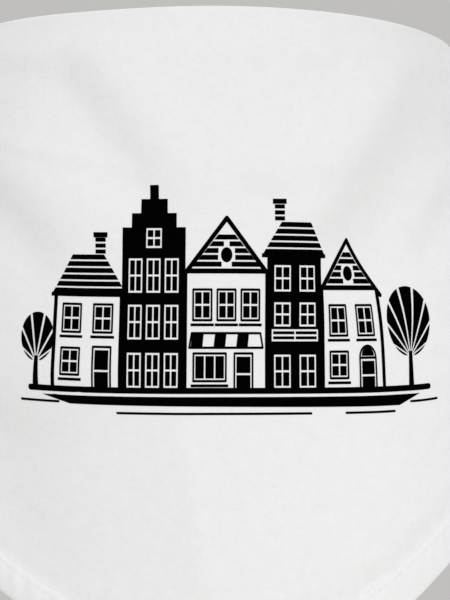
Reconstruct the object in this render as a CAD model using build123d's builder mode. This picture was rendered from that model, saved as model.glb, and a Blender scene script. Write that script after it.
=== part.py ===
from build123d import *
import math
import os

# A triangular pet bandana as it is worn: the long edge goes round the neck, the point hangs down
# over the chest, and the two long corners are tied behind the neck in a reef knot.
# Frame: origin in the middle of the neck opening, level with the knot. +Z is up along the neck,
# -Y is the front with the hanging point, and +X is on the right of someone who looks at the front.
# All sizes are in millimetres.

# The flat cut, hemmed
long_edge = 770
drop = 207
cloth_thickness = 0.8
hem_width = 10
hem_thickness = 2.2
fold_width = 12
fold_thickness = 1.8

# The neck that it is worn on, and how far out the chest, the shoulders and the back push the cloth
neck_radius = 81
neck_clearance = 0.3
top_rise = 18
front_flare = 22
side_flare = 40
back_flare = 4

# The knot's pull grows from nothing at the front. It draws the cloth together into the gathers.
gather_start = 130
gather_end = 156
gathered_share = 0.52
back_dip = 3.8
pull_growth = 3.5
gather_wall = 1.3

# The pleats that fan out from each gather, from the top one down. Columns: share of the height
# between the neck fold and the hem, and the angles from the front where the pleat starts and is whole
pleats = [(0.16, 48, 96), (0.22, 26, 74), (0.18, 38, 88), (0.24, 22, 66), (0.20, 34, 84)]

# The reef knot: each strand has two legs, a half-twist round the other strand's, and a bight
strand_diameter = 7.4
strand_gap = 0.4
strand_sides = 10
twist_length = 22
twist_steps = 12
bight_steps = 4
leg_reach = 10
entry_run = 6

# The tails that leave the knot
tail_start_run = 7
tail_drop = 30

# How finely the worn shape is followed: stations from the front to a gather, and chords and rounds
# in the search for the height where the hem comes to lie
station_count = 20
chords_per_station = 6
search_rounds = 6

# Columns: way along the gather from 0 to 1, share of the way from the pleats to the strand
gather_steps = [(0.0, 0.0), (0.2, 0.2), (0.4, 0.45), (0.6, 0.7), (0.8, 0.9), (1.0, 1.0)]

# Columns: way along a tail from 0 to 1, width and thickness in strand diameters
tail_steps = [(0.0, 1.0, 1.0), (0.3, 1.55, 0.6), (0.65, 1.15, 0.35), (1.0, 0.25, 0.15)]

half_edge = long_edge / 2
edge_slope = math.atan2(drop, half_edge)
inner_radius = neck_radius + neck_clearance
middle_radius = inner_radius + hem_thickness / 2


def mix(start, end, share):
    """A value part of the way from start to end."""
    return start + share * (end - start)


def ease(x, start, end):
    """0 up to start, 1 from end on, and smooth between them."""
    share = min(max((x - start) / (end - start), 0), 1)
    return share * share * (3 - 2 * share)


def radius_at(angle, z):
    """The radius of the cloth's middle at an angle from the front. Round the neck it lies in a
    circle, and further down in an oval that the chest and the shoulders spread."""
    spread = math.sin(min(max(top_rise - z, 0) / drop, 1) * math.pi / 2)
    wide = middle_radius + side_flare * spread
    deep = middle_radius + (front_flare if angle <= 90 else back_flare) * spread
    a = math.radians(angle)
    return wide * deep / math.hypot(deep * math.sin(a), wide * math.cos(a))


def length_round(angle, z):
    """The length of the oval at one height, from the front round to an angle."""
    chords = station_count * chords_per_station
    corners = []
    for step in range(chords + 1):
        a = angle * step / chords
        corners.append(Vector(0, -radius_at(a, z), 0).rotate(Axis.Z, a))
    return sum((end - start).length for start, end in zip(corners, corners[1:]))


def kept_height(angle):
    """The share of its height that the cloth keeps at an angle, where the rest goes into pleats."""
    return mix(1, gathered_share, (angle / gather_start) ** pull_growth)


def heights(angle):
    """The heights at one station: top edge, under the neck fold, over the hem, and bottom edge.
    The cloth doesn't stretch, so its width round the body sets which part of the hem is there."""
    kept = kept_height(angle)
    top = top_rise - back_dip * (1 - kept) / (1 - gathered_share)
    bottom = top - drop
    for _ in range(search_rounds):
        bottom = top - kept * drop * (1 - length_round(angle, bottom) / half_edge)
    return top, top - kept * fold_width, bottom + kept * hem_width / math.cos(edge_slope), bottom


def pleat_corners(angle):
    """The cloth between the neck fold and the hem at one station, as corners from the top down: how
    far each stands out from the body, and its height. A pleat takes up what the height has lost."""
    _, high, low, _ = heights(angle)
    steepness = math.sqrt(1 / kept_height(angle) ** 2 - 1)
    corners = [(0, high)]
    for share, starts, whole in pleats:
        height = share * (high - low)
        upper = corners[-1][1]
        corners.append((height / 2 * steepness * ease(angle, starts, whole), upper - height / 2))
        corners.append((0, upper - height))
    return corners


def radial_plane(angle):
    """The upright plane through the neck's axis at an angle from the front, on the +X side."""
    a = math.radians(angle)
    return Plane(origin=(0, 0, 0), x_dir=(math.sin(a), -math.cos(a), 0), z_dir=(-math.cos(a), -math.sin(a), 0))


def strip_section(angle, high, low, thickness):
    """A strip of cloth cut by a radial plane, curved as the chest is."""
    middle = (high + low) / 2
    with BuildSketch(radial_plane(angle)) as section:
        with BuildLine():
            for side in (thickness / 2, -thickness / 2):
                ThreePointArc(*[(radius_at(angle, z) + side, z) for z in (high, middle, low)])
            for z in (high, low):
                Line((radius_at(angle, z) + thickness / 2, z), (radius_at(angle, z) - thickness / 2, z))
        make_face()
    return section.sketch.face()


def pleated_section(angle):
    """The cloth's single layer between the neck fold and the hem, cut by a radial plane."""
    corners = pleat_corners(angle)
    outer = []
    inner = []
    for number, (stands_out, z) in enumerate(corners):
        beside, beside_z = corners[number - 1] if number > 0 else corners[1]
        steep = math.hypot(1, (stands_out - beside) / (z - beside_z))
        middle = radius_at(angle, z) + stands_out
        outer.append((middle + cloth_thickness / 2 * steep, z))
        inner.append((middle - cloth_thickness / 2 * steep, z))
    with BuildSketch(radial_plane(angle)) as section:
        with BuildLine():
            Polyline(*outer, *reversed(inner), close=True)
        make_face()
    return section.sketch.face()


stations = [gather_start * step / station_count for step in range(station_count + 1)]


def half_band(section_at):
    """Half of a band of cloth, on the +X side, through its sections at all stations."""
    with BuildPart() as half:
        loft(sections=[section_at(angle) for angle in stations], ruled=True)
    return half.part


def fold_section(angle):
    top, under_fold, _, _ = heights(angle)
    return strip_section(angle, top, under_fold, fold_thickness)


def hem_section(angle):
    _, _, over_hem, bottom = heights(angle)
    return strip_section(angle, over_hem, bottom, hem_thickness)


# Cloth panel: one piece from side to side, of a single layer of cloth
with BuildPart() as cloth_panel:
    add(half_band(pleated_section))
    mirror(about=Plane.YZ)
cloth_panel.part.label = "cloth_panel"

# Neck fold: the long edge turned over, which lies round the neck
with BuildPart() as neck_fold:
    add(half_band(fold_section))
    mirror(about=Plane.YZ)
neck_fold.part.label = "neck_fold"

# Hems: the two short edges turned over twice and sewn, meeting at the point
with BuildPart() as hem_right:
    add(half_band(hem_section))
hem_right.part.label = "hem_right"

with BuildPart() as hem_left:
    add(hem_right.part)
    mirror(about=Plane.YZ, mode=Mode.REPLACE)
hem_left.part.label = "hem_left"

# Gathers: the pleats close up behind the neck, from a tall bunch into a round strand that goes into
# the knot
strand_radius = strand_diameter / 2
leg_offset = (strand_diameter + strand_gap) / 2
end_angle = math.radians(gather_end)
end_out = inner_radius + strand_radius
gather_inner_corners = 3


def gather_outline(way, share):
    """The bunch's outline on a radial plane, with a corner for each ridge and valley on its outside.
    Along the gather the corners move from the pleats' places to a circle."""
    angle = mix(gather_start, gather_end, way)
    top, _, _, bottom = heights(gather_start)
    outside = [(0, top)] + pleat_corners(gather_start) + [(0, bottom)]
    corners = [(stands_out + gather_wall, z) for stands_out, z in outside]
    for step in range(gather_inner_corners):
        corners.append((-gather_wall, mix(bottom, top, step / (gather_inner_corners - 1))))
    first_turn = math.pi * (len(outside) - 1) / len(corners)
    outline = []
    for number, (across, z) in enumerate(corners):
        turn = first_turn - 2 * math.pi * number / len(corners)
        out = mix(radius_at(angle, z) + across, end_out + strand_radius * math.cos(turn), share)
        up = mix(z, leg_offset + strand_radius * math.sin(turn), share)
        outline.append(radial_plane(angle).from_local_coords((out, up, 0)))
    return outline


def faceted(outlines):
    """A closed solid with flat facets between outlines that all have the same number of corners."""
    faces = [Face(Wire.make_polygon(outlines[0])), Face(Wire.make_polygon(outlines[-1]))]
    for near, far in zip(outlines, outlines[1:]):
        for number in range(len(near)):
            faces.append(Face(Wire.make_polygon([near[number - 1], near[number], far[number]])))
            faces.append(Face(Wire.make_polygon([near[number - 1], far[number], far[number - 1]])))
    return Solid(Shell(faces))


with BuildPart() as gather_right:
    add(faceted([gather_outline(way, share) for way, share in gather_steps]))
gather_right.part.label = "gather_right"

with BuildPart() as gather_left:
    add(gather_right.part)
    mirror(about=Plane.YZ, mode=Mode.REPLACE)
gather_left.part.label = "gather_left"

# Knot: the strands twist once round each other above the middle and once, mirrored, below it, and
# each one's bight joins its two twists beyond the other one's legs. That makes it a reef knot.
knot_y = inner_radius + leg_offset + strand_radius
twist_centre = 2 * leg_offset
twist_slope = 2 * math.pi * leg_offset / twist_length
leg_corner = twist_length / 4 + leg_offset / twist_slope


def strand_route(outward):
    """The corners of the strand that comes from the -X side, with the knot's middle at x = 0.
    outward is 1 where its legs lie outside the other's bight, and -1 where they lie inside it."""
    upper = []
    for step in range(twist_steps // 4, twist_steps + 1):
        turn = 2 * math.pi * step / twist_steps
        across = outward * leg_offset * math.cos(turn)
        upper.append((twist_length * (step / twist_steps - 0.5), across, twist_centre - leg_offset * math.sin(turn)))
    lean = math.atan(twist_slope)
    bight_radius = twist_centre / math.sin(lean)
    bight = []
    for step in range(1, 2 * bight_steps):
        turn = lean * (1 - step / bight_steps)
        x = twist_length / 2 + bight_radius * (math.cos(turn) - math.cos(lean))
        bight.append((x, outward * leg_offset, bight_radius * math.sin(turn)))
    lower = [(x, y, -z) for x, y, z in reversed(upper)]
    leg_y = outward * leg_offset
    leg_start = (-leg_corner - leg_reach, leg_y, leg_offset)
    leg_end = (-leg_corner - leg_reach, leg_y, -leg_offset)
    tail_start = (leg_end[0] - tail_start_run, leg_y, -leg_offset - tail_start_run / 2)
    leg = [leg_start, (-leg_corner, leg_y, leg_offset)]
    tail_leg = [(-leg_corner, leg_y, -leg_offset), leg_end, tail_start]
    knotted = [Vector(x, knot_y + y, z) for x, y, z in leg + upper + bight + lower + tail_leg]
    entry = Vector(-end_out * math.sin(end_angle), -end_out * math.cos(end_angle), leg_offset)
    inward = Vector(-math.cos(end_angle), math.sin(end_angle), 0)
    return [entry, entry + inward * entry_run] + knotted


def strand(outward):
    """One strand of the knot, from the end of its gather to the start of its tail."""
    with BuildPart() as made:
        with BuildLine() as route:
            Polyline(*strand_route(outward))
        path = route.wires()[0]
        outwards = (-math.sin(end_angle), -math.cos(end_angle), 0)
        with BuildSketch(Plane(origin=path @ 0, x_dir=outwards, z_dir=path % 0)):
            RegularPolygon(strand_radius, strand_sides)
        sweep(path=path, transition=Transition.RIGHT)
    return made.part, path


left_strand, left_route = strand(1)
right_strand, right_route = strand(-1)

with BuildPart() as knot_left:
    add(left_strand)
knot_left.part.label = "knot_left"

with BuildPart() as knot_right:
    add(right_strand)
    mirror(about=Plane.YZ, mode=Mode.REPLACE)
knot_right.part.label = "knot_right"

# Tails: what is left of the two long corners, which open out past the knot and hang
worn_length = middle_radius * end_angle


def tail(route):
    """A tail on the -X side, a leaf that opens out of the strand's end and falls to a point."""
    length = half_edge - worn_length - route.length
    start = route @ 1
    way = route % 1
    outlines = []
    for share, wide, thick in tail_steps:
        centre = start + way * (share * length) - Vector(0, 0, tail_drop * share**2)
        ahead = (way * length - Vector(0, 0, 2 * tail_drop * share)).normalized()
        upward = Vector(0, 1, 0).cross(ahead).normalized()
        across = Plane(origin=centre, x_dir=upward, z_dir=ahead)
        outline = []
        for side in range(strand_sides):
            turn = 2 * math.pi * side / strand_sides
            corner = (strand_radius * wide * math.cos(turn), strand_radius * thick * math.sin(turn), 0)
            outline.append(across.from_local_coords(corner))
        outlines.append(outline)
    return faceted(outlines)


with BuildPart() as tail_left:
    add(tail(left_route))
tail_left.part.label = "tail_left"

with BuildPart() as tail_right:
    add(tail(right_route))
    mirror(about=Plane.YZ, mode=Mode.REPLACE)
tail_right.part.label = "tail_right"

os.makedirs("parts", exist_ok=True)
pieces = [
    cloth_panel,
    neck_fold,
    hem_left,
    hem_right,
    gather_left,
    gather_right,
    knot_left,
    knot_right,
    tail_left,
    tail_right,
]
for piece in pieces:
    export_step(piece.part, f"parts/{piece.part.label}.step")
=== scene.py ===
import math

import bpy
import numpy as np
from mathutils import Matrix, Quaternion, Vector, geometry


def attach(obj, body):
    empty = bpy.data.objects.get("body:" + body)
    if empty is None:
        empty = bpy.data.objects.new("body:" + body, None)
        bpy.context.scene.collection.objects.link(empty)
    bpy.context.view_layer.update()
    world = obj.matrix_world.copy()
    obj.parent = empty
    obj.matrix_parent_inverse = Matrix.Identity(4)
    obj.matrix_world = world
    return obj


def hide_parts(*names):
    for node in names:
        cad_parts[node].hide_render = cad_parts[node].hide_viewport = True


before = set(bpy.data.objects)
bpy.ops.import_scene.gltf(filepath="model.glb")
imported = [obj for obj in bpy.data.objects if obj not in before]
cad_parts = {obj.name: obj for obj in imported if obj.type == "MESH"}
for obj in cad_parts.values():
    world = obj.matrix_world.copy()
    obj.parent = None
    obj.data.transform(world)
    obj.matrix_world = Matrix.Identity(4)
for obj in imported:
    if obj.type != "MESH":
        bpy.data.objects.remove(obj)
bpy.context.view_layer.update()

# A white triangular pet bandana, worn and tied behind the neck, with a black line print.
# Lengths are in millimetres until a mesh is made, in the frame of the CAD model: the origin is in
# the middle of the neck opening, +Z is up the neck and -Y is the front.
TO_METRES = 0.001

# The flat cut, as in the CAD model
LONG_EDGE = 770
DROP = 207
FOLD_WIDTH, HEM_WIDTH = 12, 10
HALF_EDGE = LONG_EDGE / 2
EDGE_SLOPE = math.atan2(DROP, HALF_EDGE)
CLOTH = 0.45

# The neck and chest that it is worn on, and the knot's pull, as in the CAD model. RING is the
# distance from the neck's axis to the cloth, and the angles run from the front to the back
RING = 81.9
TOP_RISE = 18
FRONT_FLARE, SIDE_FLARE, BACK_FLARE = 22, 40, 4
GATHER_START, GATHER_END = math.radians(130), math.radians(156)
GATHERED_SHARE = 0.52
BACK_DIP = 3.8
PULL_GROWTH = 3.5

# Where the photographed cloth leaves an even drape: its top edge sags left of the middle, and on the
# right it is hiked up, is fuller near the top, and its hem bows down and is wider. FROM is how far
# down a change sets in, and four numbers are where it starts, is full, fades and ends
TOP_SAG = 0.9
SAG_AT, SAG_REACH = -38, 34
RIGHT_HIKE, HIKE_FROM = 0.042, 0.1
HIKE_ANGLES = (0.6, 1.15, 1.3, 2.0)
RIGHT_FULLER = 1.7
FULLER_ANGLES = (0.95, 1.4, 1.8, 2.3)
HEM_BOW, HEM_BOW_FROM = 1.6, 0.94
HEM_BOW_AT, HEM_BOW_REACH = 57, 11
HEM_SWELL, SWELL_RUN = 0.28, (42, 84, 104, 160)
HEM_SHRINK, SHRINK_RUN = 0.16, (20, 60, 90, 150)

# The knot's strands, as in the CAD model
NECK_FIT = 81.3
STRAND_RADIUS = 3.7
LEG_OFFSET = 3.9
TWIST_LENGTH = 22
TWIST_STEPS, BIGHT_STEPS = 12, 4
LEG_REACH = 10
TAIL_START_RUN, TAIL_DROP = 7, 30

# How a strand comes round from the gather to its leg, the angle between the two stations of the
# gather that it goes on from, how finely its route is cut, and the size of its tail's cloth
ENTRY_RUN, ARRIVAL_RUN = 7, 5
MEETING_STEP = 0.01
ROUTE_STEP = 0.8
TAIL_WIDTH, TIP_WIDTH, TAIL_PLEAT = 13, 1.2, 2.6

# The photograph's view: the neck's axis is left of the middle, and the cloth leans a little
IMAGE_LONG_SIDE = 600
FOCAL_PIXELS = 1500
CAMERA_AZIMUTH = math.radians(-2)
CAMERA_DISTANCE = 528
CAMERA_HEIGHT = -68.9
CAMERA_ROLL = math.radians(0.64)
AXIS_OFFSET_PIXELS = 20.6


def mix(start, end, share):
    return start + (end - start) * share


def ease(x, start, end):
    """0 before start, 1 after end, and smooth between them."""
    s = np.clip((x - start) / (end - start), 0, 1)
    return s * s * (3 - 2 * s)


def stretch(x, start, full, fading, end):
    """1 between full and fading, and 0 outside start and end."""
    return ease(x, start, full) * (1 - ease(x, fading, end))


def bell(x, middle, reach):
    """1 at the middle, and next to nothing at twice the reach from it."""
    return np.exp(-(((x - middle) / reach) ** 2))


# Camera
def make_camera():
    data = bpy.data.cameras.new("camera")
    camera = bpy.data.objects.new("camera", data)
    bpy.context.scene.collection.objects.link(camera)
    data.sensor_width = 36
    data.lens = FOCAL_PIXELS / IMAGE_LONG_SIDE * data.sensor_width
    data.clip_start = 10 * TO_METRES
    away = Vector((math.sin(CAMERA_AZIMUTH), -math.cos(CAMERA_AZIMUTH), 0)) * CAMERA_DISTANCE
    camera.location = (away + Vector((0, 0, CAMERA_HEIGHT))) * TO_METRES
    turn = CAMERA_AZIMUTH - math.atan2(AXIS_OFFSET_PIXELS, FOCAL_PIXELS)
    look = Vector((-math.sin(turn), math.cos(turn), 0)).to_track_quat("-Z", "Y")
    camera.rotation_mode = "QUATERNION"
    camera.rotation_quaternion = look @ Quaternion((0, 0, 1), CAMERA_ROLL)
    bpy.context.scene.camera = camera


make_camera()


# The worn shape
def oval(angle, z):
    """How far the body's surface is from the neck's axis, at an angle from the front."""
    spread = np.sin(np.clip((TOP_RISE - z) / DROP, 0, 1.02) * math.pi / 2)
    wide = RING + SIDE_FLARE * spread
    deep = RING + np.where(angle <= math.pi / 2, FRONT_FLARE, BACK_FLARE) * spread
    return wide * deep / np.hypot(deep * np.sin(angle), wide * np.cos(angle))


# Two tables by height: the length round the body from the front at even angles, and the angle at
# even lengths
LONGEST_WAY_ROUND = 290
LEVELS = np.linspace(TOP_RISE + 2, TOP_RISE - DROP * 1.02, 96)
ANGLES = np.linspace(0, GATHER_END, 470)
ring_r = oval(ANGLES[None, :], LEVELS[:, None])
ring_x, ring_y = ring_r * np.sin(ANGLES), ring_r * np.cos(ANGLES)
ring_steps = np.hypot(np.diff(ring_x, axis=1), np.diff(ring_y, axis=1))
LENGTH_AT = np.concatenate([np.zeros((len(LEVELS), 1)), np.cumsum(ring_steps, axis=1)], axis=1)
LENGTHS = np.linspace(0, LONGEST_WAY_ROUND, 2 * LONGEST_WAY_ROUND + 1)
ANGLE_AT = np.stack([np.interp(LENGTHS, row, ANGLES) for row in LENGTH_AT])


def sample(table, z, x, columns):
    """A value between the entries of a table whose rows are LEVELS and whose columns are even."""
    row = np.clip((LEVELS[0] - z) / (LEVELS[0] - LEVELS[1]), 0, len(LEVELS) - 1.001)
    column = np.clip((x - columns[0]) / (columns[1] - columns[0]), 0, len(columns) - 1.001)
    i, j = row.astype(int), column.astype(int)
    upper = mix(table[i, j], table[i, j + 1], column - j)
    lower = mix(table[i + 1, j], table[i + 1, j + 1], column - j)
    return mix(upper, lower, row - i)


def length_at(angle, z):
    return sample(LENGTH_AT, z, angle, ANGLES)


def angle_at(length, z):
    return sample(ANGLE_AT, z, length, LENGTHS)


def pull_at(angle):
    """How much the knot's pull is felt, from 0 at the front to 1 at the gather."""
    return (np.minimum(angle, GATHER_START) / GATHER_START) ** PULL_GROWTH


def kept_at(angle):
    """The share of its height that the pleats leave the cloth."""
    return mix(1, GATHERED_SHARE, pull_at(angle))


def top_at(angle):
    """The height of the top edge."""
    return TOP_RISE - BACK_DIP * pull_at(angle)


# The height of the hem's edge by angle, found by repeated correction
STATIONS = np.linspace(0, GATHER_START, 261)
EDGE_Z = top_at(STATIONS) - DROP
for _ in range(12):
    cut = DROP * (1 - length_at(STATIONS, EDGE_Z) / HALF_EDGE)
    EDGE_Z = top_at(STATIONS) - kept_at(STATIONS) * cut

# The pleats that fan out from each gather, as in the CAD model. Columns: share of the height between
# the neck fold and the hem, and the angles in degrees where the pleat starts and is whole
PLEATS = np.array([
    (0.16, 48, 96),
    (0.22, 26, 74),
    (0.18, 38, 88),
    (0.24, 22, 66),
    (0.20, 34, 84),
])
PLEAT_EDGES = np.concatenate([[0], np.cumsum(PLEATS[:, 0])])


def pleats_at(angle, t):
    """How many pleats lie above a point, as a number with a fraction, and the pleated height."""
    a = np.minimum(np.abs(angle), GATHER_START)
    height = top_at(a) - np.interp(a, STATIONS, EDGE_Z)
    high = kept_at(a) * FOLD_WIDTH / height
    low = 1 - kept_at(a) * HEM_WIDTH / math.cos(EDGE_SLOPE) / height
    phase = np.interp((t - high) / (low - high), PLEAT_EDGES, np.arange(len(PLEAT_EDGES)))
    return phase, (low - high) * height


# Soft folds of the front. Each is a flank between a low and a high side, along a curve that is
# steered by three points of the flat cut, in millimetres across and down. The side on the left hand
# of the way from start to end is the high one. Columns: start, middle, end, how steep the flank is,
# and how far the low and the high side reach
FRONT_FOLDS = [
    ((-52, 8), (-33, 29), (-2, 72), 0.34, 7, 9),
    ((18, 80), (49, 47), (80, 2), 0.49, 16, 10),
    ((-82, 41), (-60, 62), (-36, 84), 0.32, 8, 12),
    ((2, 54), (20, 54), (40, 42), 0.26, 5, 6),
    ((-84, 9), (-62, 14), (-44, 22), 0.10, 5, 6),
    ((-78, 38), (-45, 46), (0, 57), 0.20, 3, 2),
    ((60, 76), (72, 64), (84, 48), 0.30, 7, 6),
    ((80, 60), (84, 46), (92, 20), 0.19, 13, 15),
    ((-14, 104), (-10, 140), (2, 205), 0.17, 34, 3),
    ((62, 156), (54, 125), (46, 92), 0.15, 14, 7),
    ((-58, 90), (-54, 160), (-42, 270), 0.17, 18, 20),
    ((62, 260), (78, 170), (86, 80), 0.16, 14, 16),
]
CURVE_STEPS = 41
FOLD_FADE = (-0.02, 0.3, 0.62, 1.02)

# The drape's slight unevenness, the pleats' variety, and the dip and the puckers beside the hem
BROAD_WAVE, FINE_WAVE = 0.35, 0.22
PLEAT_VARIETY = 0.25
SEAM_AT, SEAM_DIP = 11.4, 0.45
PUCKER_AT, SEAM_PUCKER = 12, 0.20

# How far the cloth stands off the body, in all and over the neck fold and the front, the angles where
# the front ends, and the least square of the bundle's chord
STAND_OFF = 0.35
OVER_FOLD = 0.55
FRONT_LIFT = 1.1
FRONT_END = (math.radians(60), math.radians(105))
LEAST_CHORD = 0.3


def waves(x, shortest, longest, count, seed):
    """Smooth irregular waves along x, of about -1 to 1."""
    r = np.random.default_rng(seed)
    total = np.zeros_like(x)
    for _ in range(count):
        length = mix(shortest, longest, r.random())
        total += np.sin(2 * math.pi * (x / length + r.random()))
    return total / math.sqrt(count)


def fold_relief(u, v):
    """How far the drape stands out over the front, from its unevenness and the soft folds."""
    relief = BROAD_WAVE * np.sin(u / 17 + 0.9 + 0.5 * np.sin(v / 31)) * np.sin(v / 23 + 0.4)
    relief += FINE_WAVE * np.sin(u / 9.5 + v / 14 + 2.1) * np.sin(v / 12 - u / 40)
    for start, middle, end, steep, low, high in FRONT_FOLDS:
        nearest = np.full(np.shape(u), np.inf)
        along, rise = np.zeros(np.shape(u)), np.zeros(np.shape(u))
        # each point takes how far along the curve and how far left of it it lies from the curve's
        # nearest step
        for s in np.linspace(0, 1, CURVE_STEPS):
            shares = ((1 - s) ** 2, 2 * s * (1 - s), s * s)
            across = u - (shares[0] * start[0] + shares[1] * middle[0] + shares[2] * end[0])
            down = v - (shares[0] * start[1] + shares[1] * middle[1] + shares[2] * end[1])
            to_u = 2 * (1 - s) * (middle[0] - start[0]) + 2 * s * (end[0] - middle[0])
            to_v = 2 * (1 - s) * (middle[1] - start[1]) + 2 * s * (end[1] - middle[1])
            far = across**2 + down**2
            closer = far < nearest
            nearest = np.where(closer, far, nearest)
            ahead = (to_u * across + to_v * down) / (to_u**2 + to_v**2)
            along = np.where(closer, s + ahead, along)
            left = (to_v * across - to_u * down) / math.hypot(to_u, to_v)
            rise = np.where(closer, left, rise)
        reach = np.where(rise < 0, low, high)
        fade = stretch(along, *FOLD_FADE)
        relief += steep * rise * np.exp(-0.5 * (rise / reach) ** 2) * fade
    return relief


def hem_swell(u):
    """The hem's width as a share of the usual one: wider on a stretch of the right side, narrower on
    one of the left side."""
    return 1 + HEM_SWELL * stretch(u, *SWELL_RUN) - HEM_SHRINK * stretch(-u, *SHRINK_RUN)


def settled(z, angle, u, t, height):
    """The height of a point once the cloth sags, is hiked up and bows."""
    z = z - TOP_SAG * bell(u, SAG_AT, SAG_REACH) * (1 - t)
    z = z + RIGHT_HIKE * stretch(angle, *HIKE_ANGLES) * height * ease(t, HIKE_FROM, 1)
    return z - HEM_BOW * bell(u, HEM_BOW_AT, HEM_BOW_REACH) * ease(t, HEM_BOW_FROM, 1)


def pleat_shape(a, t, kept):
    """How far half a pleat stands out, and where a point is across it, from 0 inside to 1 outside."""
    phase, pleated = pleats_at(a, t)
    number = np.clip(phase.astype(int), 0, len(PLEATS) - 1)
    width = PLEATS[number, 0] * pleated
    fade = ease(np.degrees(a), PLEATS[number, 1], PLEATS[number, 2])
    depth = width / 4 * np.sqrt(1 / kept**2 - 1) * fade
    depth *= 1 + PLEAT_VARIETY * waves(a * RING + 13 * number, 22, 60, 3, 5)
    return depth, 0.5 - 0.5 * np.cos(2 * math.pi * phase)


def hem_dent(u, edge_q):
    """The puckers beside the hem's seam, and the dip where the seam pulls the cloth in."""
    q = edge_q / hem_swell(u)
    pucker = waves(u + 3, 5, 11, 4, 11) * bell(q, PUCKER_AT, 3.5) * SEAM_PUCKER
    return pucker - SEAM_DIP * bell(q, SEAM_AT, np.where(q < SEAM_AT, 1.6, 4.2))


def bundle_radius(across, bundle_z):
    """The radius where a point lies in the round bundle that the gather ends in."""
    rest = STRAND_RADIUS**2 - (bundle_z - LEG_OFFSET) ** 2
    chord = np.sqrt(np.clip(rest, LEAST_CHORD, None))
    return NECK_FIT + STRAND_RADIUS + across * (chord - CLOTH / 2)


def surface(angle, t):
    """The middle of the cloth's thickness: angle is signed, t runs from the top edge to the hem.
    Returns points and the same points' places on the flat cut."""
    side = np.where(angle < 0, -1.0, 1.0)
    a = np.abs(angle)
    strip_a = np.minimum(a, GATHER_START)
    top = top_at(strip_a)
    bottom = np.interp(strip_a, STATIONS, EDGE_Z)
    z = mix(top, bottom, t)
    kept = kept_at(strip_a)
    u = side * (length_at(strip_a, z) + (a - strip_a) * RING)
    v = (top - z) / kept
    edge_q = (z - bottom) / kept * math.cos(EDGE_SLOPE)
    z = settled(z, side * a, u, t, top - bottom)

    depth, wave = pleat_shape(a, t, kept)
    front = 1 - ease(a, *FRONT_END)
    slack = ease(v, 2, 16) * ease(edge_q, 0, 22)
    over_fold = OVER_FOLD * (1 - ease(v, 9, 18))
    fuller = RIGHT_FULLER * stretch(side * a, *FULLER_ANGLES) * (1 - ease(v, 10, 34))
    worn = oval(a, z) + STAND_OFF + over_fold + 2 * depth * wave + FRONT_LIFT * front * slack
    worn = worn + fold_relief(u, v) * front * slack + hem_dent(u, edge_q) + fuller

    # past the gather's start, the worn cloth goes over into the round bundle
    way = np.clip((a - GATHER_START) / (GATHER_END - GATHER_START), 0, 1)
    share = mix(way, np.sin(way * math.pi / 2), way)
    bundle_z = LEG_OFFSET + (STRAND_RADIUS - CLOTH / 2) * (1 - 2 * t)
    radius = mix(worn, bundle_radius(2 * wave - 1, bundle_z), share)
    z = mix(z, bundle_z, share)
    return np.stack([side * np.sin(a) * radius, -np.cos(a) * radius, z], -1), u, v


def normal_at(angle, t):
    """The outward unit normal of the worn cloth."""
    step = 1e-4
    along = surface(angle + step, t)[0] - surface(angle - step, t)[0]
    down = surface(angle, np.minimum(t + step, 1))[0] - surface(angle, np.maximum(t - step, 0))[0]
    n = np.cross(down, along)
    return n / np.linalg.norm(n, axis=-1, keepdims=True)


def place(u, v):
    """The angle and t of a point of the flat cut on the front or the sides."""
    a, z = np.abs(u) / RING, TOP_RISE - v
    for _ in range(8):
        a = angle_at(np.abs(u), z)
        z = top_at(a) - kept_at(a) * v
    bottom = np.interp(a, STATIONS, EDGE_Z)
    return np.sign(u) * a, (top_at(a) - z) / (top_at(a) - bottom)


# Meshes
def new_mesh(name, points, faces, uv=None, caps=0):
    """An object from points in millimetres. Its last faces, as many as caps says, are shaded flat,
    and the others smooth."""
    mesh = bpy.data.meshes.new(name)
    mesh.from_pydata((np.asarray(points) * TO_METRES).tolist(), [], faces)
    mesh.polygons.foreach_set("use_smooth", [True] * (len(faces) - caps) + [False] * caps)
    if uv is not None:
        corners = np.empty(len(mesh.loops), dtype=np.int32)
        mesh.loops.foreach_get("vertex_index", corners)
        layer = mesh.uv_layers.new(name="UVMap")
        layer.data.foreach_set("uv", (np.asarray(uv)[corners] * TO_METRES).ravel())
    mesh.update()
    made = bpy.data.objects.new(name, mesh)
    bpy.context.scene.collection.objects.link(made)
    return made


def grid_faces(rows, columns, wrap=False):
    """Quads of a grid; with wrap, the last column joins the first."""
    i, j = np.meshgrid(np.arange(rows - 1), np.arange(columns if wrap else columns - 1), indexing="ij")
    a = (i * columns + j).ravel()
    b = (i * columns + (j + 1) % columns).ravel()
    return np.stack([a, b, b + columns, a + columns], -1)


def closed_strip(points, uv, flip=False):
    """A closed skin from a grid of points, whose rows are rings; both ends are capped."""
    rows, columns = points.shape[:2]
    first, last = list(range(columns)), list(range((rows - 1) * columns, rows * columns))
    faces = grid_faces(rows, columns, wrap=True).tolist() + [first[::-1], last]
    if flip:
        faces = [face[::-1] for face in faces]
    return points.reshape(-1, 3), faces, uv.reshape(-1, 2)


def grid_normals(points):
    """The unit normals of a grid of points."""
    n = np.cross(np.gradient(points, axis=1), np.gradient(points, axis=0))
    return n / np.linalg.norm(n, axis=-1, keepdims=True)


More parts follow.
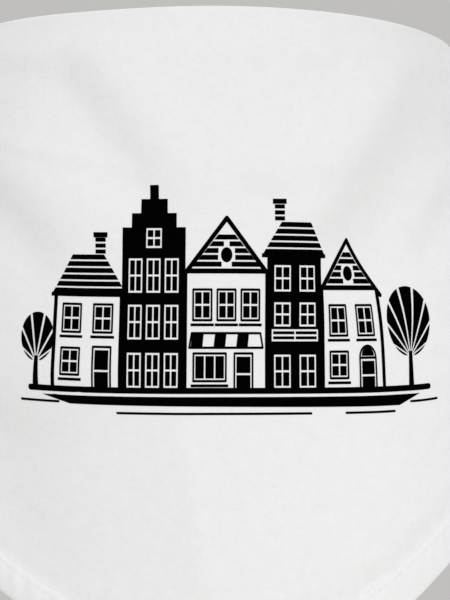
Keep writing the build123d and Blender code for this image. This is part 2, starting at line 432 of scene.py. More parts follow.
def thick_sheet(name, points, uv, thickness, head_rows=0, tail_rows=0):
    """A closed sheet round a grid of middle points, with its outer face along the grid's normal. The
    head and tail rows only steer the normals, and belong to the neighbour that the sheet meets."""
    kept = slice(head_rows, len(points) - tail_rows)
    n, points, uv = grid_normals(points)[kept], points[kept], uv[kept]
    outer, inner = points + n * thickness / 2, points - n * thickness / 2
    rows, columns = points.shape[:2]
    ring = np.concatenate([outer, inner[:, ::-1]], axis=1)
    ring_uv = np.concatenate([uv, uv[:, ::-1]], axis=1)
    faces = grid_faces(rows, 2 * columns, wrap=True).tolist()
    for row, turned in ((0, True), (rows - 1, False)):
        base = row * 2 * columns
        for j in range(columns - 1):
            quad = [base + j, base + j + 1, base + 2 * columns - 2 - j, base + 2 * columns - 1 - j]
            faces.append(quad[::-1] if turned else quad)
    return new_mesh(name, ring.reshape(-1, 3), faces, ring_uv.reshape(-1, 2), caps=2 * (columns - 1))


def ride(obj, slot, *nodes):
    """Declares a piece on the only body, and hides the nodes that it replaces. The slot is not used.
    """
    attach(obj, "root")
    if nodes:
        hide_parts(*nodes)
    return obj


# Cloth: one layer from knot to knot, rolled over along the top edge. It ends inside the hems
COLUMNS, ROWS, ROLL_STEPS = 331, 132, 7
ROLL_RADIUS = 0.5
ROLLED_EDGE = 1.5
OPEN_AT_KNOT = 0.985
CLOTH_T = np.append(np.linspace(0, 0.99, ROWS - 1), 0.994)


def make_cloth():
    # one column more at each end steers the normals there
    step = 2 * GATHER_END / (COLUMNS - 1)
    angles = np.linspace(-GATHER_END - step, GATHER_END + step, COLUMNS + 2)
    A, T = np.meshgrid(angles, CLOTH_T, indexing="ij")
    points, u, v = surface(A, T)
    outwards = np.stack([np.sin(angles), -np.cos(angles), np.zeros_like(angles)], -1)
    # the roll opens flat along the gather, so that the strand can go on from its end
    rolled = 1 - OPEN_AT_KNOT * ease(np.abs(angles), GATHER_START, GATHER_END)
    rim, rim_uv = [], []
    for share in np.linspace(1, 0, ROLL_STEPS + 1)[:-1]:
        turn = math.pi * share * rolled
        shift = outwards * (-ROLL_RADIUS * (1 - np.cos(turn)))[:, None]
        shift[:, 2] = ROLL_RADIUS * np.sin(turn)
        rim.append(points[:, 0] + shift)
        rim_uv.append(np.stack([u[:, 0], v[:, 0] - ROLL_RADIUS * turn], -1))
    turn = math.pi * rolled
    onward = outwards * -np.sin(turn)[:, None]
    onward[:, 2] = np.cos(turn)
    hang = ROLLED_EDGE * rolled
    rim.insert(0, rim[0] + onward * hang[:, None])
    rim_uv.insert(0, rim_uv[0] - np.stack([0 * hang, hang], -1))
    points = np.concatenate([np.stack(rim, 1), points], axis=1)
    uv = np.concatenate([np.stack(rim_uv, 1), np.stack([u, v], -1)], axis=1)
    sheet = thick_sheet("cloth", points, uv, CLOTH, head_rows=1, tail_rows=1)
    return ride(sheet, "cloth", "cloth_panel", "gather_left", "gather_right")


cloth = make_cloth()


# Neck fold: the long edge turned in, behind the cloth. FOLD_WAVE is how uneven it lies
FOLD_ENDS = GATHER_START * 1.02
FOLD_GAP, FOLD_WAVE = 0.9, 0.12


def make_neck_fold():
    angles = np.linspace(-FOLD_ENDS, FOLD_ENDS, 261)
    depth = np.linspace(0.6, FOLD_WIDTH, 14)
    A, V = np.meshgrid(angles, depth, indexing="ij")
    strip_a = np.minimum(np.abs(A), GATHER_START)
    height = top_at(strip_a) - np.interp(strip_a, STATIONS, EDGE_Z)
    t = V * kept_at(strip_a) / height
    points, u, v = surface(A, t)
    uneven = waves(u, 14, 40, 3, 21) * FOLD_WAVE
    inwards = np.stack([-np.sin(A), np.cos(A), np.zeros_like(A)], -1)
    points = points + inwards * (FOLD_GAP + uneven * ease(V, 2, 12))[..., None]
    sheet = thick_sheet("neck_fold_band", points, np.stack([u, -v], -1), CLOTH)
    return ride(sheet, "folded_edge", "neck_fold")


neck_band = make_neck_fold()

# Hems: the short edges turned over twice, puffed between the edge and the stitches. Columns:
# distance from the edge, and how far the outer face and the inner face stand off the middle
HEM_PROFILE = np.array([
    (0.0, 0.00, 0.00),
    (0.3, 0.42, 0.34),
    (0.9, 0.66, 0.52),
    (2.0, 0.82, 0.62),
    (3.6, 0.90, 0.66),
    (5.2, 0.90, 0.66),
    (6.6, 0.84, 0.60),
    (7.6, 0.74, 0.50),
    (8.2, 0.62, 0.42),
    (8.6, 0.58, 0.38),
    (9.0, 0.60, 0.42),
    (9.6, 0.62, 0.44),
    (10.0, 0.52, 0.34),
    (10.4, 0.14, 0.14),
])
STITCH_LINE = 8.6
HEM_STATIONS = 360
HEM_THINS, HEM_END = math.radians(112), math.radians(131)


def hem_t(angle, q):
    """t at a distance q from the hem's edge, measured on the flat cut."""
    a = np.minimum(np.abs(angle), GATHER_START)
    height = top_at(a) - np.interp(a, STATIONS, EDGE_Z)
    wider = hem_swell(np.sign(angle) * length_at(a, np.interp(a, STATIONS, EDGE_Z)))
    return 1 - kept_at(a) * q * wider / math.cos(EDGE_SLOPE) / height


def hem_pucker(along, q, seed):
    """The small gathers that the stitches pull into the hem."""
    fine = waves(along, 4.5, 9, 4, seed) * 0.24 * bell(q, STITCH_LINE, 3.2)
    return fine + waves(along + 0.35 * q, 6, 17, 4, seed + 1) * 0.16 * bell(q, 3.5, 3.5)


def make_hem(name, node, side):
    """Returns the hem, its outer and inner points and their normals."""
    angles = side * np.linspace(0, HEM_END, HEM_STATIONS)
    q = HEM_PROFILE[:, 0]
    A, Q = np.meshgrid(angles, q, indexing="ij")
    T = hem_t(A, Q)
    middle, u, v = surface(A, np.minimum(T, 1))
    n = normal_at(A, np.minimum(T, 0.9995))
    along = np.abs(u[:, :1]) / math.cos(EDGE_SLOPE)
    thinned = 1 - 0.9 * ease(np.abs(A), HEM_THINS, HEM_END)
    bump = hem_pucker(along, Q, 31 if side > 0 else 47)
    # the puckers move the outer face more than the inner one, and leave the edge as it is
    off_edge = Q > 0
    outwards = HEM_PROFILE[:, 1] * (1 + 0.9 * bump) + 0.35 * bump * off_edge
    inwards = HEM_PROFILE[:, 2] * (1 - 0.3 * bump) - 0.2 * bump * off_edge
    outer = middle + n * (outwards * thinned)[..., None]
    inner = middle - n * (inwards * thinned)[..., None]
    ring = np.concatenate([outer, inner[:, :0:-1]], axis=1)
    uv = np.stack([u, v], -1)
    ring_uv = np.concatenate([uv, uv[:, :0:-1]], axis=1)
    obj = new_mesh(name, *closed_strip(ring, ring_uv, flip=side > 0), caps=2)
    return ride(obj, "folded_edge", node), outer, inner, n


hem_left, *left_faces = make_hem("hem_left_folded", "hem_left", -1)
hem_right, *right_faces = make_hem("hem_right_folded", "hem_right", 1)

# Stitches: one bead of thread each, lying in the groove, with its ends sunk into the cloth
STITCH_PITCH, STITCH_LENGTH = 2.8, 2.3
THREAD_RADIUS, THREAD_FLATNESS = 0.13, 0.8
THREAD_LIFT, END_SINK = 0.04, 0.14
BEAD_RINGS, BEAD_SIDES = 7, 6
STITCHED = slice(2, HEM_STATIONS - 20)


def make_stitches(name, lines):
    """lines holds pairs of a line of points and the normals there."""
    along = np.linspace(-0.5, 0.5, BEAD_RINGS)
    wide = np.sqrt(np.clip(1 - (2 * along) ** 4, 0.02, 1))
    turn = np.linspace(0, 2 * math.pi, BEAD_SIDES, endpoint=False)
    lift = THREAD_LIFT - END_SINK * np.abs(2 * along)[:, None] ** 3
    points, faces, uvs = [], [], []
    base = 0
    for line, normals in lines:
        length = np.concatenate([[0], np.cumsum(np.linalg.norm(np.diff(line, axis=0), axis=1))])
        for start in np.arange(STITCH_PITCH * 0.7, length[-1] - STITCH_PITCH, STITCH_PITCH):
            at = start + along * STITCH_LENGTH
            centre = np.stack([np.interp(at, length, line[:, k]) for k in range(3)], -1)
            up = np.stack([np.interp(at, length, normals[:, k]) for k in range(3)], -1)
            ahead = np.gradient(centre, axis=0)
            ahead /= np.linalg.norm(ahead, axis=1, keepdims=True)
            across = np.cross(ahead, up)
            centre = centre + up * lift
            sideways = across[:, None] * np.cos(turn)[:, None]
            upwards = up[:, None] * np.sin(turn)[:, None] * THREAD_FLATNESS
            ring = centre[:, None] + (THREAD_RADIUS * wide)[:, None, None] * (sideways + upwards)
            made = closed_strip(ring, np.zeros(ring.shape[:2] + (2,)))
            points.append(made[0])
            faces += [[base + k for k in face] for face in made[1]]
            uvs.append(made[2] + np.array([start, 0]))
            base += len(made[0])
    return ride(new_mesh(name, np.concatenate(points), faces, np.concatenate(uvs)), "thread")


def stitch_lines(outer, inner, n):
    """The two lines of a hem where the stitches show, outside and inside, with the normals there."""
    column = int(np.argmin(np.abs(HEM_PROFILE[:, 0] - STITCH_LINE)))
    up = n[STITCHED, column]
    return [(outer[STITCHED, column], up), (inner[STITCHED, column], -up)]


stitches = make_stitches("hem_stitches", stitch_lines(*left_faces) + stitch_lines(*right_faces))


# Knot and tails: the pleated bundle goes on through the knot, and opens out past it
def strand_corners(outward):
    """The corners of the left strand's route through the reef knot, as in the CAD model. It comes in
    by the upper leg, twists with the other strand, turns back in its bight, twists again and leaves
    by the lower leg. outward is 1 where it starts on the knot's outer side, and -1 on the inner."""
    slope = 2 * math.pi * LEG_OFFSET / TWIST_LENGTH
    centre = 2 * LEG_OFFSET
    knot_y = NECK_FIT + LEG_OFFSET + STRAND_RADIUS
    upper = []
    for step in range(TWIST_STEPS // 4, TWIST_STEPS + 1):
        turn = 2 * math.pi * step / TWIST_STEPS
        x = TWIST_LENGTH * (step / TWIST_STEPS - 0.5)
        upper.append((x, outward * LEG_OFFSET * math.cos(turn), centre - LEG_OFFSET * math.sin(turn)))
    lean = math.atan(slope)
    bight_radius = centre / math.sin(lean)
    bight = []
    for step in range(1, 2 * BIGHT_STEPS):
        turn = lean * (1 - step / BIGHT_STEPS)
        x = TWIST_LENGTH / 2 + bight_radius * (math.cos(turn) - math.cos(lean))
        bight.append((x, outward * LEG_OFFSET, bight_radius * math.sin(turn)))
    lower = [(x, y, -z) for x, y, z in reversed(upper)]
    corner = TWIST_LENGTH / 4 + LEG_OFFSET / slope
    leg_y = outward * LEG_OFFSET
    leg = [(-corner - LEG_REACH, leg_y, LEG_OFFSET), (-corner, leg_y, LEG_OFFSET)]
    tail_leg = [(-corner, leg_y, -LEG_OFFSET), (-corner - LEG_REACH, leg_y, -LEG_OFFSET)]
    tail_leg.append((-corner - LEG_REACH - TAIL_START_RUN, leg_y, -LEG_OFFSET - TAIL_START_RUN / 2))
    knotted = [(x, knot_y + y, z) for x, y, z in leg + upper + bight + lower + tail_leg]
    out = NECK_FIT + STRAND_RADIUS
    entry = np.array([-out * math.sin(GATHER_END), -out * math.cos(GATHER_END), LEG_OFFSET])
    inward = np.array([-math.cos(GATHER_END), math.sin(GATHER_END), 0])
    steered, leg_start = entry + inward * ENTRY_RUN, np.array(knotted[0])
    arriving = leg_start - np.array([ARRIVAL_RUN, 0, 0])
    swung = []
    for s in (0.25, 0.5, 0.75):
        near, middle = mix(entry, steered, s), mix(steered, arriving, s)
        far = mix(arriving, leg_start, s)
        swung.append(mix(mix(near, middle, s), mix(middle, far, s), s))
    return np.array([entry, *swung, *knotted])


def smooth_route(corners, spacing):
    """Evenly spaced points of a smooth curve by the corners, and how far along it each one is."""
    dense = []
    before, after = 2 * corners[:1] - corners[1:2], 2 * corners[-1:] - corners[-2:-1]
    padded = np.concatenate([before, corners, after])
    for k in range(1, len(padded) - 2):
        p0, p1, p2, p3 = padded[k - 1 : k + 3]
        squared, cubed = 2 * p0 - 5 * p1 + 4 * p2 - p3, 3 * p1 - p0 - 3 * p2 + p3
        for s in np.linspace(0, 1, 8, endpoint=False):
            dense.append(0.5 * (2 * p1 + (p2 - p0) * s + squared * s**2 + cubed * s**3))
    dense = np.array(dense + [corners[-1]])
    for _ in range(10):
        dense[1:-1] = 0.25 * dense[:-2] + 0.5 * dense[1:-1] + 0.25 * dense[2:]
    length = np.concatenate([[0], np.cumsum(np.linalg.norm(np.diff(dense, axis=0), axis=1))])
    at = np.linspace(0, length[-1], int(length[-1] / spacing) + 1)
    return np.stack([np.interp(at, length, dense[:, k]) for k in range(3)], -1), at


def route_frames(route, first_x):
    """Directions across a route that don't twist about it, from a first one."""
    ahead = np.gradient(route, axis=0)
    ahead /= np.linalg.norm(ahead, axis=1, keepdims=True)
    x = first_x - ahead[0] * (first_x @ ahead[0])
    xs = []
    for direction in ahead:
        x = x - direction * (x @ direction)
        x = x / np.linalg.norm(x)
        xs.append(x)
    xs = np.array(xs)
    return xs, np.cross(ahead, xs), ahead


def tail_route(start, way, length, seed):
    """A tail's points, which hang down and sway from the knot, and how far along it each one is."""
    at = np.arange(1, int(length / ROUTE_STEP) + 1) * ROUTE_STEP
    s = at / length
    drop = np.array([0, 0, -TAIL_DROP])
    sway = np.array([0, 1, 0])
    bend = 2.2 * np.sin(s * 3.4 + seed) - 2.2 * math.sin(seed)
    return start + way * at[:, None] + drop * (s**2)[:, None] + sway * (bend * s)[:, None], at


def round_section(wave, t, along, seed):
    """The pleated bundle across the knot: its folds lie on a circle that is pressed here and there."""
    pressed = 0.06 * math.sin(along / 3.1 + seed) + 0.04 * math.sin(along / 1.7 + 2 * seed)
    squeeze = 1 + pressed * ease(along, 0, 7)
    y = (STRAND_RADIUS - CLOTH / 2) * squeeze * (1 - 2 * t)
    chord = np.sqrt(np.clip((STRAND_RADIUS * squeeze) ** 2 - y**2, LEAST_CHORD, None))
    return wave * (chord - CLOTH / 2), y


def leaf_section(wave, t, along, opening, open_share, length, seed):
    """The tail's cloth across its run, which spreads out and grows narrow to the corner."""
    flat = max((1 - opening) * length * math.tan(EDGE_SLOPE), TIP_WIDTH)
    spread = mix(2 * STRAND_RADIUS, min(flat, TAIL_WIDTH) * 0.93, open_share)
    spread = min(spread, flat)
    fold = spread / len(PLEATS) / 4 * math.sqrt(max((flat / spread) ** 2 - 1, 0))
    fold = min(fold + 0.25 * (1 - opening), TAIL_PLEAT)
    return wave * fold + 0.9 * open_share * np.sin(3 * t + along / 6 + seed), spread / 2 * (1 - 2 * t)


def make_strand(name, knot_node, tail_node, side, outward, seed):
    """One strand of the knot with its tail. side is -1 for the strand from the -X side and 1 for its
    mirror image."""
    route, at = smooth_route(strand_corners(outward), ROUTE_STEP)
    first = np.array([-math.sin(GATHER_END), -math.cos(GATHER_END), 0])
    x_axis, y_axis, ahead = route_frames(route, first)
    # the bundle keeps the gather's up direction at its start, and the tail the knot's
    if y_axis[0][2] < 0:
        y_axis = -y_axis
    length = HALF_EDGE - RING * GATHER_END - at[-1]
    tail, tail_at = tail_route(route[-1], ahead[-1], length, seed)
    tail_x, tail_y, _ = route_frames(np.concatenate([route[-2:], tail]), x_axis[-1])
    if tail_y[0] @ y_axis[-1] < 0:
        tail_y = -tail_y
    route = np.concatenate([route, tail])
    x_axis = np.concatenate([x_axis, tail_x[2:]])
    y_axis = np.concatenate([y_axis, tail_y[2:]])
    along = np.concatenate([at, at[-1] + tail_at])
    opening = np.concatenate([np.zeros(len(at)), tail_at / length])

    t = CLOTH_T
    wave = -np.cos(2 * math.pi * pleats_at(GATHER_END, t)[0])
    sections = []
    for k, here in enumerate(along):
        open_share = ease(opening[k], 0, 0.55)
        x_round, y_round = round_section(wave, t, here, seed)
        x_leaf, y_leaf = leaf_section(wave, t, here, opening[k], open_share, length, seed)
        turn = 0.5 * math.sin(here / 13 + seed) * (1 - open_share) * min(here / 8, 1)
        x = mix(x_round * math.cos(turn) - y_round * math.sin(turn), x_leaf, open_share)
        y = mix(x_round * math.sin(turn) + y_round * math.cos(turn), y_leaf, open_share)
        sections.append(route[k] + x_axis[k] * x[:, None] + y_axis[k] * y[:, None])
    # the gather's last stations come first, so that the strand goes on from it without a step
    meeting = surface(-np.array([[GATHER_END - MEETING_STEP], [GATHER_END]]), t[None])[0]
    points = np.concatenate([meeting, sections[1:]])
    along = np.concatenate([[-MEETING_STEP * RING], along])
    if side > 0:
        points = points * np.array([-1, 1, 1])
    u = side * (RING * GATHER_END + along)
    uv = np.stack(np.broadcast_arrays(u[:, None], 12 + 30 * t[None]), -1)
    return ride(thick_sheet(name, points, uv, CLOTH, head_rows=1), "cloth", knot_node, tail_node)


strand_left = make_strand("strand_left", "knot_left", "tail_left", -1, 1, 0.7)
strand_right = make_strand("strand_right", "knot_right", "tail_right", 1, -1, 2.1)


# Print: a street of plain town houses in black, on the front. Its drawing has its own lengths
# across and up, which the two scales turn into millimetres of cloth
PRINT_LEFT, PRINT_GROUND = -52.0, 112.8
PRINT_WIDTH_SCALE, PRINT_HEIGHT_SCALE = 0.865, 1.16
PRINT_LIFT = 0.08
LATTICE = 1.6
BOLD, FINE, GAP = 1.3, 0.6, 0.5
drawing = []


def solid(*corners):
    """A black shape of the drawing, from its corners."""
    drawing.append(list(corners))


def box_shape(x0, y0, x1, y1):
    if min(x1 - x0, y1 - y0) > 0.01:
        solid((x0, y0), (x1, y0), (x1, y1), (x0, y1))


def disc(x, y, radius, sides=14):
    turns = [2 * math.pi * k / sides for k in range(sides)]
    solid(*[(x + radius * math.cos(a), y + radius * math.sin(a)) for a in turns])


def arc(x, y, radius):
    """The points of an upper half circle."""
    turns = [math.pi * k / 12 for k in range(13)]
    return [(x + radius * math.cos(a), y + radius * math.sin(a)) for a in turns]


def stroke(points, width, closed=False):
    """A line of even width with round corners."""
    points = list(points) + ([points[0]] if closed else [])
    for (x0, y0), (x1, y1) in zip(points, points[1:]):
        length = math.hypot(x1 - x0, y1 - y0)
        nx, ny = -(y1 - y0) / length * width / 2, (x1 - x0) / length * width / 2
        solid((x0 + nx, y0 + ny), (x0 - nx, y0 - ny), (x1 - nx, y1 - ny), (x1 + nx, y1 + ny))
    for x, y in points[:-1] if closed else points:
        disc(x, y, width / 2, 8)


def panes(x, y, wide, high, across=2, up=2):
    """Black panes with white bars between them."""
    pane_wide, pane_high = (wide - GAP * (across - 1)) / across, (high - GAP * (up - 1)) / up
    for i in range(across):
        for j in range(up):
            left, foot = x + i * (pane_wide + GAP), y + j * (pane_high + GAP)
            box_shape(left, foot, left + pane_wide, foot + pane_high)


def window(x, y, wide, high, across=2, up=2):
    """A window of a white wall: panes in a frame, over a sill."""
    stroke([(x, y), (x + wide, y), (x + wide, y + high), (x, y + high)], FINE, closed=True)
    rim = FINE / 2 + 0.35
    panes(x + rim, y + rim, wide - 2 * rim, high - 2 * rim, across, up)
    box_shape(x - 0.8, y - 1.5, x + wide + 0.8, y - 0.8)


def door(x, wide, high, arched=False):
    """A door of two panels in a frame; the arched one has a black light above it."""
    stroke([(x, 0), (x, high), (x + wide, high), (x + wide, 0)], FINE)
    box_shape(x + 0.7, 0.4, x + wide - 0.7, high * 0.42)
    box_shape(x + 0.7, high * 0.42 + GAP, x + wide - 0.7, high - 0.8)
    if arched:
        stroke(arc(x + wide / 2, high, wide / 2), FINE)
        solid(*arc(x + wide / 2, high + 0.45, wide / 2 - 0.7))


def black_wall(x0, x1, top, rows):
    """A black wall whose windows are white boxes with black panes. Columns of the rows: foot, height,
    window width, and where the windows start."""
    low = 0
    for foot, high, wide, places in rows:
        box_shape(x0, low, x1, foot)
        left = x0
        for x in places:
            box_shape(left, foot, x, foot + high)
            panes(x + GAP, foot + GAP, wide - 2 * GAP, high - 2 * GAP)
            left = x + wide
        box_shape(left, foot, x1, foot + high)
        low = foot + high
    box_shape(x0, low, x1, top)


def bands(low, high, left_at, right_at, step=1.7, hole=None):
    """Black bands with white joints, between two sides that are given by height. A hole is a round
    place that stays white: across, up and radius."""
    count = int((high - low) / step)
    for k in range(count):
        y0, y1 = low + k * step, low + (k + 1) * step - 0.45
        middle = (y0 + y1) / 2
        cut = 0 if hole is None else hole[2] ** 2 - (middle - hole[1]) ** 2
        ends = [(left_at, right_at)]
        if cut > 0:
            half = math.sqrt(cut)
            ends = [(left_at, lambda y: hole[0] - half), (lambda y: hole[0] + half, right_at)]
        for left, right in ends:
            if right(y1) - left(y1) > 0.2:
                solid((left(y0), y0), (right(y0), y0), (right(y1), y1), (left(y1), y1))


def chimney(x, y, wide, high):
    bands(y, y + high, lambda h: x, lambda h: x + wide, step=1.5)
    box_shape(x - 0.6, y + high - 0.4, x + wide + 0.6, y + high + 0.9)


def gable_house(x, wide, wall, roof):
    """A white house under a pointed gable that is boarded in black, with a round window."""
    middle, lean = x + wide / 2, wide / 2 / roof
    for side in (x, x + wide):
        stroke([(side, 0), (side, wall)], BOLD)
    stroke([(x - 1.3, wall - 1.2), (middle, wall + roof + 0.9), (x + wide + 1.3, wall - 1.2)], BOLD)
    window_height = wall + roof * 0.36
    bands(
        wall,
        wall + roof - 1.5,
        lambda y: x + (y - wall) * lean + 0.6,
        lambda y: x + wide - (y - wall) * lean - 0.6,
        hole=(middle, window_height, 2.9),
    )
    disc(middle, window_height, 1.9, 18)


def hip_roof(x, wide, wall, roof, inset):
    """A roof of dark tiles with sloping ends, over a gutter."""
    lean = (inset + 1.4) / roof
    bands(
        wall,
        wall + roof,
        lambda y: x - 1.4 + (y - wall) * lean,
        lambda y: x + wide + 1.4 - (y - wall) * lean,
    )
    box_shape(x - 1.8, wall - 0.9, x + wide + 1.8, wall + 0.1)


# Quay, with its shadow and the water under it
stroke([(-2.5, 0), (137, 0)], 1.5)
solid((2, -1.5), (133, -1.5), (124, -4.2), (12, -3.6))
for left, right, height in ((-6.2, 8, -3.2), (28, 92, -5.6), (104, 122, -5.6), (129, 140.5, -3.4)):
    stroke([(left, height), (right, height)], FINE)

# House 1: low and white, with a hipped roof
for x in (6, 29):
    stroke([(x, 0), (x, 24)], BOLD)
hip_roof(6, 23, 24, 10.2, 6.5)
chimney(20, 34.0, 3.4, 4.5)
for x in (8.8, 19.6):
    window(x, 14.2, 6.4, 7.0)
window(8.8, 3.6, 6.4, 6.6)
door(19.8, 6.0, 10.6)

# House 2: tall and black, with a stepped gable
black_wall(29, 50, 40.6, [
    (0.7, 8.6, 4.6, (31.2, 37.2, 43.2)),
    (12.6, 8.6, 4.6, (31.2, 37.2, 43.2)),
    (24.2, 8.6, 4.6, (31.2, 37.2, 43.2)),
    (35.4, 5.0, 5.2, (36.9,)),
])
for step, (left, right) in enumerate(((32, 47), (35, 44), (38, 41))):
    box_shape(left, 40.5 + 3.6 * step, right, 44.2 + 3.6 * step)

# House 3: broad and white, with a pointed gable and a shop front
gable_house(50, 27, 29, 13.0)
for x in (52.6, 60.5, 68.4):
    window(x, 17.4, 6.0, 7.6)
for k in (0, 2, 4):
    x = 52.4 + k * 3.72
    solid((x, 14.2), (x + 3.72, 14.2), (x + 3.3, 10.8), (x - 0.5, 10.8))
stroke([(52.2, 14.2), (74.8, 14.2), (75.6, 10.6), (51.4, 10.6)], FINE, closed=True)
window(52.8, 2.4, 10.6, 6.8, across=3, up=1)
door(66.2, 6.0, 9.2)

# House 4: narrow, tall and black, with a hipped roof and a balcony
black_wall(77, 96, 33.2, [
    (0.7, 8.2, 5.6, (79.4, 88.0)),
    (12.2, 3.0, 15.8, (78.6,)),
    (15.9, 6.0, 5.6, (79.4, 88.0)),
    (24.6, 6.6, 5.6, (79.4, 88.0)),
])
hip_roof(77, 19, 34, 8.6, 5)
chimney(79.4, 42.4, 3.2, 4.6)

# House 5: white, with a pointed gable
gable_house(96, 22, 25, 12.0)
for x in (98.6, 108.8):
    window(x, 13.6, 6.2, 7.6)
window(98.6, 3.0, 6.2, 6.6)
door(109.0, 6.0, 8.0, arched=True)


# Trees at both ends
def round_tree(x, trunk, crown, slices):
    """A tree whose dark round crown is cut into slices by white boughs that spread from the trunk."""
    solid((x - 1.1, 0), (x + 1.1, 0), (x + 0.7, trunk + 1.4), (x - 0.7, trunk + 1.4))
    for k in range(slices):
        first, last = (math.pi * (0.03 + 0.94 * edge / slices) for edge in (k + 0.08, k + 0.92))
        middle = (first + last) / 2
        corners = [(x + 1.2 * math.cos(middle), trunk + 1.2 * math.sin(middle))]
        for step in range(7):
            turn = mix(first, last, step / 6)
            far = 2 * crown * math.sin(turn)
            corners.append((x + far * math.cos(turn), trunk + far * math.sin(turn)))
        solid(*corners)


round_tree(-0.4, 6.5, 6.2, 7)
round_tree(129.6, 8.0, 9.0, 9)


def triangles_of(corners):
    """A shape cut into small triangles that can follow the cloth."""
    outline = []
    for a, b in zip(corners, corners[1:] + corners[:1]):
        count = max(1, int(math.dist(a, b) / LATTICE + 0.5))
        outline += [(mix(a[0], b[0], k / count), mix(a[1], b[1], k / count)) for k in range(count)]
    xs, ys = zip(*outline)
    inside = []
    for x in np.arange(min(xs) + LATTICE / 2, max(xs), LATTICE):
        for y in np.arange(min(ys) + LATTICE / 2, max(ys), LATTICE):
            if all(math.dist((x, y), p) > LATTICE * 0.3 for p in outline):
                inside.append((x, y))
    points = [Vector(p) for p in outline + inside]
    made = geometry.delaunay_2d_cdt(points, [], [list(range(len(outline)))], 1, 1e-5)
    return [tuple(p) for p in made[0]], made[2]


def make_print():
    """The drawing as thin ink on the cloth's outer face."""
    flat, faces = [], []
    for corners in drawing:
        points, triangles = triangles_of(corners)
        faces += [[len(flat) + k for k in face] for face in triangles]
        flat += points
    flat = np.array(flat)
    u = PRINT_LEFT + flat[:, 0] * PRINT_WIDTH_SCALE
    v = PRINT_GROUND - flat[:, 1] * PRINT_HEIGHT_SCALE
    angle, t = place(u, v)
    points = surface(angle, t)[0] + normal_at(angle, t) * (CLOTH / 2 + PRINT_LIFT)
    return ride(new_mesh("printed_street", points, faces, np.stack([u, v], -1)), "print_ink")


printed = make_print()


# Materials
class Shader:
    """A material with its nodes. Values and other nodes' outputs go into sockets alike."""

    def __init__(self, name, **inputs):
        self.material = bpy.data.materials.new(name)
        self.material.use_nodes = True
        self.tree = self.material.node_tree
        self.principled = self.tree.nodes["Principled BSDF"]
        for key, value in inputs.items():
            self.put(value, self.principled.inputs[key.replace("_", " ")])

    def node(self, kind, **inputs):
        made = self.tree.nodes.new(kind)
        for key, value in inputs.items():
            if hasattr(made, key):
                setattr(made, key, value)
            else:
                self.put(value, made.inputs[key.replace("_", " ")])
        return made

    def put(self, value, socket):
        if isinstance(value, bpy.types.NodeSocket):
            self.tree.links.new(value, socket)
        else:
            socket.default_value = value

    def math(self, operation, a, b=0.0):
        made = self.tree.nodes.new("ShaderNodeMath")
        made.operation = operation
        self.put(a, made.inputs[0])
        self.put(b, made.inputs[1])
        return made.outputs[0]

    def noise(self, uv, scale, detail, rough):
        made = self.node("ShaderNodeTexNoise", Vector=uv, Scale=scale, Detail=detail, Roughness=rough)
        return made.outputs["Fac"]

    def threads(self, uv, direction, scale):
        made = self.node("ShaderNodeTexWave", bands_direction=direction, Vector=uv, Scale=scale,
                         Distortion=1.2, Detail=1.0, Detail_Scale=1.5)
        return made.outputs["Fac"]

    def uneven(self, value, amount):
        """A value from 0 to 1 as a change of tone about 0."""
        return self.math("MULTIPLY", self.math("SUBTRACT", value, 0.5), amount)

    def sum_of(self, first, *others):
        for other in others:
            first = self.math("ADD", first, other)
        return first

    def complete(self, colour, height, strength):
        """Links the colour, and the height in millimetres as a bump."""
        bumped = self.node("ShaderNodeBump", Height=height, Distance=TO_METRES, Strength=strength)
        self.put(colour, self.principled.inputs["Base Color"])
        self.put(bumped.outputs[0], self.principled.inputs["Normal"])
        return self.material


# The cloth's unevenness: its fineness per metre, its height in millimetres and its share of tone
WARP_SIZE, WEFT_SIZE, THREAD_HEIGHT = 720.0, 640.0, 0.009
MOTTLE_SIZE, MOTTLE_HEIGHT, MOTTLE_TONE = 620.0, 0.075, 0.08
SLUB_SIZE, SLUB_HEIGHT, SLUB_TONE = 210.0, 0.16, 0.07
BROAD_SIZE, BROAD_HEIGHT = 42.0, 0.3
INK_SLUB_SIZE, INK_TONE = 160.0, 0.0016


def cloth_material(name, tint, weave=1.0, bump=1.0):
    """Soft white polyester: a fine weave, a soft mottle and a little fuzz. UVs are in metres."""
    s = Shader(name, Roughness=0.85, Sheen_Weight=0.15, Sheen_Roughness=0.5, Specular_IOR_Level=0.25)
    uv = s.node("ShaderNodeUVMap", uv_map="UVMap").outputs["UV"]
    warp, weft = s.threads(uv, "X", WARP_SIZE), s.threads(uv, "Y", WEFT_SIZE)
    mottle = s.noise(uv, MOTTLE_SIZE, 4.0, 0.6)
    slub = s.noise(uv, SLUB_SIZE, 3.0, 0.6)
    broad = s.noise(uv, BROAD_SIZE, 2.0, 0.5)
    height = s.sum_of(
        s.math("MULTIPLY", s.math("ADD", warp, weft), THREAD_HEIGHT * weave),
        s.math("MULTIPLY", mottle, MOTTLE_HEIGHT),
        s.math("MULTIPLY", slub, SLUB_HEIGHT),
        s.math("MULTIPLY", broad, BROAD_HEIGHT),
    )
    tone = s.sum_of(s.uneven(mottle, MOTTLE_TONE), s.uneven(slub, SLUB_TONE), 1.0)
    colour = s.node("ShaderNodeVectorMath", operation="SCALE", Scale=tone)
    colour.inputs[0].default_value = (tint, tint, tint)
    return s.complete(colour.outputs[0], height, bump)


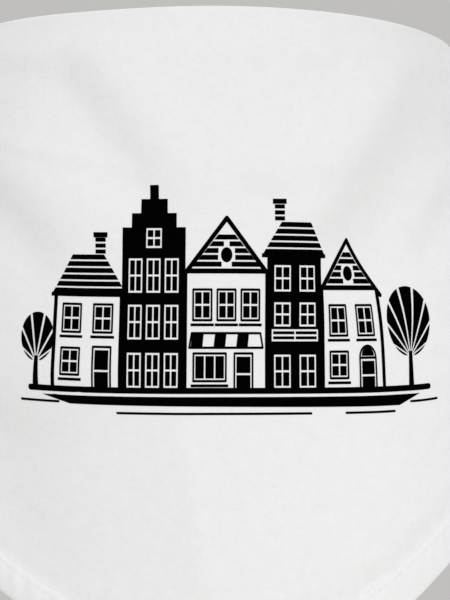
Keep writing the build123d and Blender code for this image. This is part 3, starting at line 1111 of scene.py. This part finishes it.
def ink_material(name):
    """Matt black ink in the cloth's fibres, through which a little of the weave shows."""
    s = Shader(name, Roughness=1.0, Specular_IOR_Level=0.0)
    uv = s.node("ShaderNodeUVMap", uv_map="UVMap").outputs["UV"]
    mottle = s.noise(uv, MOTTLE_SIZE, 4.0, 0.6)
    slub = s.noise(uv, INK_SLUB_SIZE, 3.0, 0.55)
    height = s.sum_of(s.math("MULTIPLY", mottle, MOTTLE_HEIGHT), s.math("MULTIPLY", slub, SLUB_HEIGHT))
    tone = s.math("MULTIPLY", mottle, INK_TONE)
    colour = s.node("ShaderNodeCombineColor", Red=tone, Green=tone, Blue=tone)
    return s.complete(colour.outputs[0], height, 1.0)


LOOKS = (
    (cloth_material("cloth", 0.83), (cloth, strand_left, strand_right)),
    (cloth_material("folded_edge", 0.84, bump=1.1), (neck_band, hem_left, hem_right)),
    (cloth_material("thread", 0.84, weave=2.5, bump=0.6), (stitches,)),
    (ink_material("print_ink"), (printed,)),
)
for look, pieces in LOOKS:
    for piece in pieces:
        piece.data.materials.append(look)

# Stage: a pale floor, a pale backdrop and soft light from the front and the right
FLOOR_HEIGHT, FLOOR_REACH = -650, 9000
FLOOR_COLOUR = (0.62, 0.605, 0.585, 1)
BACKDROP_COLOUR = (0.53, 0.52, 0.505, 1)
SKY_COLOUR, SKY_STRENGTH = (0.94, 0.945, 0.952, 1), 0.885
LIGHT_AIM = (0, -60, -80)

square = ((-1, -1), (1, -1), (1, 1), (-1, 1))
floor_corners = [(x * FLOOR_REACH, y * FLOOR_REACH, FLOOR_HEIGHT) for x, y in square]
floor = new_mesh("floor", floor_corners, [(0, 1, 2, 3)])
floor_look = Shader("floor", Base_Color=FLOOR_COLOUR, Roughness=0.9)
grain = floor_look.node("ShaderNodeTexNoise", Scale=3.0, Detail=3.0)
rough = floor_look.node("ShaderNodeBump", Height=grain.outputs["Fac"], Strength=0.05)
floor_look.put(rough.outputs[0], floor_look.principled.inputs["Normal"])
floor.data.materials.append(floor_look.material)

# The camera sees the backdrop's colour, and the light on the object is the sky's
world = bpy.data.worlds.new("world")
bpy.context.scene.world = world
world.use_nodes = True
nodes, links = world.node_tree.nodes, world.node_tree.links
light_path = nodes.new("ShaderNodeLightPath")
sky = nodes["Background"]
sky.inputs["Color"].default_value = SKY_COLOUR
sky.inputs["Strength"].default_value = SKY_STRENGTH
backdrop = nodes.new("ShaderNodeBackground")
backdrop.inputs["Color"].default_value = BACKDROP_COLOUR
backdrop.inputs["Strength"].default_value = 1.0
either = nodes.new("ShaderNodeMixShader")
links.new(light_path.outputs["Is Camera Ray"], either.inputs[0])
links.new(sky.outputs[0], either.inputs[1])
links.new(backdrop.outputs[0], either.inputs[2])
links.new(either.outputs[0], nodes["World Output"].inputs["Surface"])


def area_light(name, location, size, watts):
    """A soft square light, from its place and size in millimetres."""
    light = bpy.data.objects.new(name, bpy.data.lights.new(name, "AREA"))
    light.data.energy = watts
    light.data.size = size * TO_METRES
    light.visible_camera = False
    light.location = Vector(location) * TO_METRES
    towards = Vector(LIGHT_AIM) * TO_METRES - light.location
    light.rotation_euler = towards.to_track_quat("-Z", "Y").to_euler()
    bpy.context.scene.collection.objects.link(light)


area_light("key", (400, -1130, 20), 600, 1.75)
area_light("high left", (-350, -450, 300), 200, 0.46)
area_light("low right", (250, -420, -260), 200, 0.27)
area_light("rim", (100, 700, 800), 500, 4.5)
bpy.context.scene.view_settings.view_transform = "Standard"
